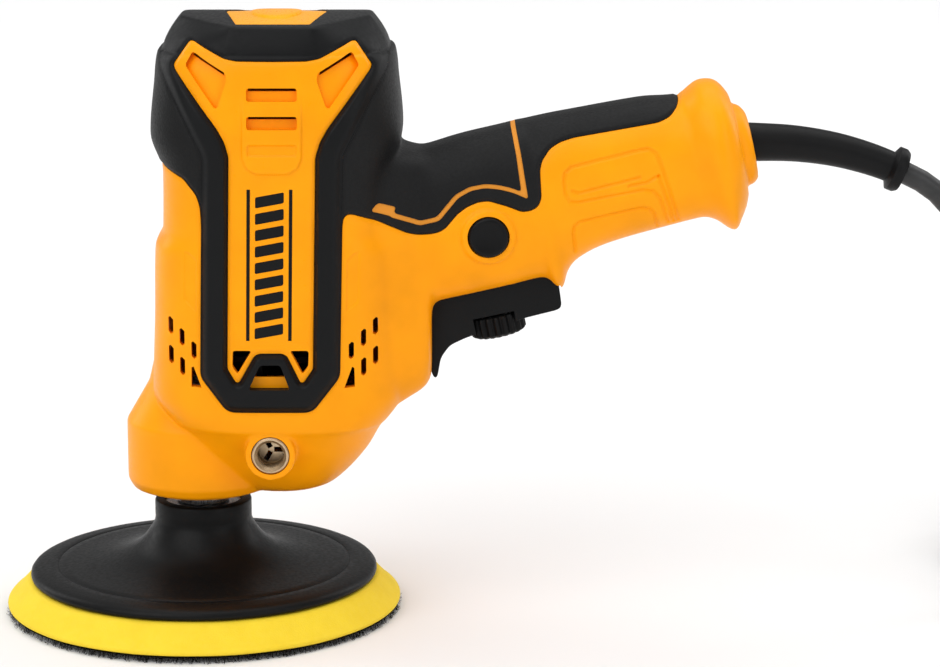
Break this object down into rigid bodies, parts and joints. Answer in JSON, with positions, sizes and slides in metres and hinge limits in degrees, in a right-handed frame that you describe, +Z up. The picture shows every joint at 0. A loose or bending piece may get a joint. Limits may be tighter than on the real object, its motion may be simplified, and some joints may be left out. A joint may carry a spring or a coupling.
{
  "type": "rotary polisher",
  "caption": "Mains-powered rotary polisher with a round hook-and-loop foam pad below an upright motor housing, an angled rear handle with trigger and speed wheel, and a coiled cord.",
  "frame": {"origin": "middle of the pad's flat working face, on the spindle's axis", "axes": "+Z up the spindle, +X towards the handle, +Y away from the side with the lock button"},
  "size_m": [0.4127, 0.1633, 0.1913],
  "materials": {
    "orange_plastic": "moulded, low gloss",
    "black_plastic": "moulded, fine grain",
    "black_rubber": "soft, stippled",
    "steel": "machined",
    "brass": "turned, nickel-tinted",
    "copper": "enamelled copper wire and bars",
    "aluminium": "die cast",
    "foam": "closed-cell foam",
    "hook_fabric": "hook fabric",
    "felt": "pressed felt",
    "carbon": "pressed carbon",
    "pale_plastic": "moulded"
  },
  "bodies": {
    "housing": {"housing_front": "orange_plastic", "housing_rear": "orange_plastic", "vent_panel_front": "orange_plastic", "vent_panel_rear": "orange_plastic", "top_insert": "orange_plastic", "top_frame": "black_plastic", "brush_frame": "black_plastic", "switch_body": "black_plastic", "plug_body": "black_plastic", "side_pad_front": "black_rubber", "side_pad_rear": "black_rubber", "grip_front": "black_rubber", "grip_rear": "black_rubber", "strain_relief": "black_rubber", "power_cord": "black_rubber", "power_cord_coil": "black_rubber", "coil_tie": "black_rubber", "housing_screw_1": "steel", "housing_screw_2": "steel", "housing_screw_3": "steel", "housing_screw_4": "steel", "housing_screw_5": "steel", "housing_screw_6": "steel", "housing_screw_7": "steel", "spindle_lower_bearing": "steel", "spindle_upper_bearing": "steel", "motor_lower_bearing": "steel", "motor_upper_bearing": "steel", "stator_core": "steel", "brush_spring_left": "steel", "brush_spring_right": "steel", "side_handle_nut_front": "brass", "side_handle_nut_rear": "brass", "brush_holder_left": "brass", "brush_holder_right": "brass", "plug_pin_front": "brass", "plug_pin_rear": "brass", "field_coil_front": "copper", "field_coil_rear": "copper", "lower_bearing_plate": "aluminium", "gear_plate": "aluminium", "felt_seal": "felt", "carbon_brush_left": "carbon", "carbon_brush_right": "carbon", "cord_clamp": "pale_plastic"},
    "spindle": {"spindle": "steel", "drive_gear": "steel", "backing_plate": "black_plastic", "pad_hub_nut": "steel", "foam_pad": "foam", "hook_face": "hook_fabric"},
    "armature": {"armature_shaft": "steel", "armature_core": "steel", "armature_winding_upper": "copper", "armature_winding_lower": "copper", "commutator": "copper", "cooling_fan": "black_plastic"},
    "trigger": {"trigger": "black_plastic"},
    "speed_dial": {"speed_dial": "black_plastic"},
    "lock_button": {"lock_button": "black_plastic"}
  },
  "joints": [
    {"name": "spindle_spin", "type": "hinge", "parent": "housing", "child": "spindle", "pos_m": [0, 0, 0], "axis": [0, 0, 1], "continuous": true},
    {"name": "motor_spin", "type": "hinge", "parent": "housing", "child": "armature", "pos_m": [0.0248, 0, 0], "axis": [0, 0, 1], "continuous": true},
    {"name": "trigger_squeeze", "type": "slide", "parent": "housing", "child": "trigger", "axis": [-0.2079, 0, 0.9781], "range_m": [0, 0.0055], "stiffness_N_per_m": 800, "springref_m": -0.003},
    {"name": "dial_turn", "type": "hinge", "parent": "trigger", "child": "speed_dial", "pos_m": [0.09347, 0, 0.09174], "axis": [-0.2079, 0, 0.9781], "range_deg": [-145, 145]},
    {"name": "lock_press", "type": "slide", "parent": "housing", "child": "lock_button", "axis": [0, 1, 0], "range_m": [0, 0.0025], "stiffness_N_per_m": 600, "springref_m": -0.002}
  ],
  "couplings": [
    {"joint": "motor_spin", "follows": "spindle_spin", "ratio": -4.1667}
  ]
}
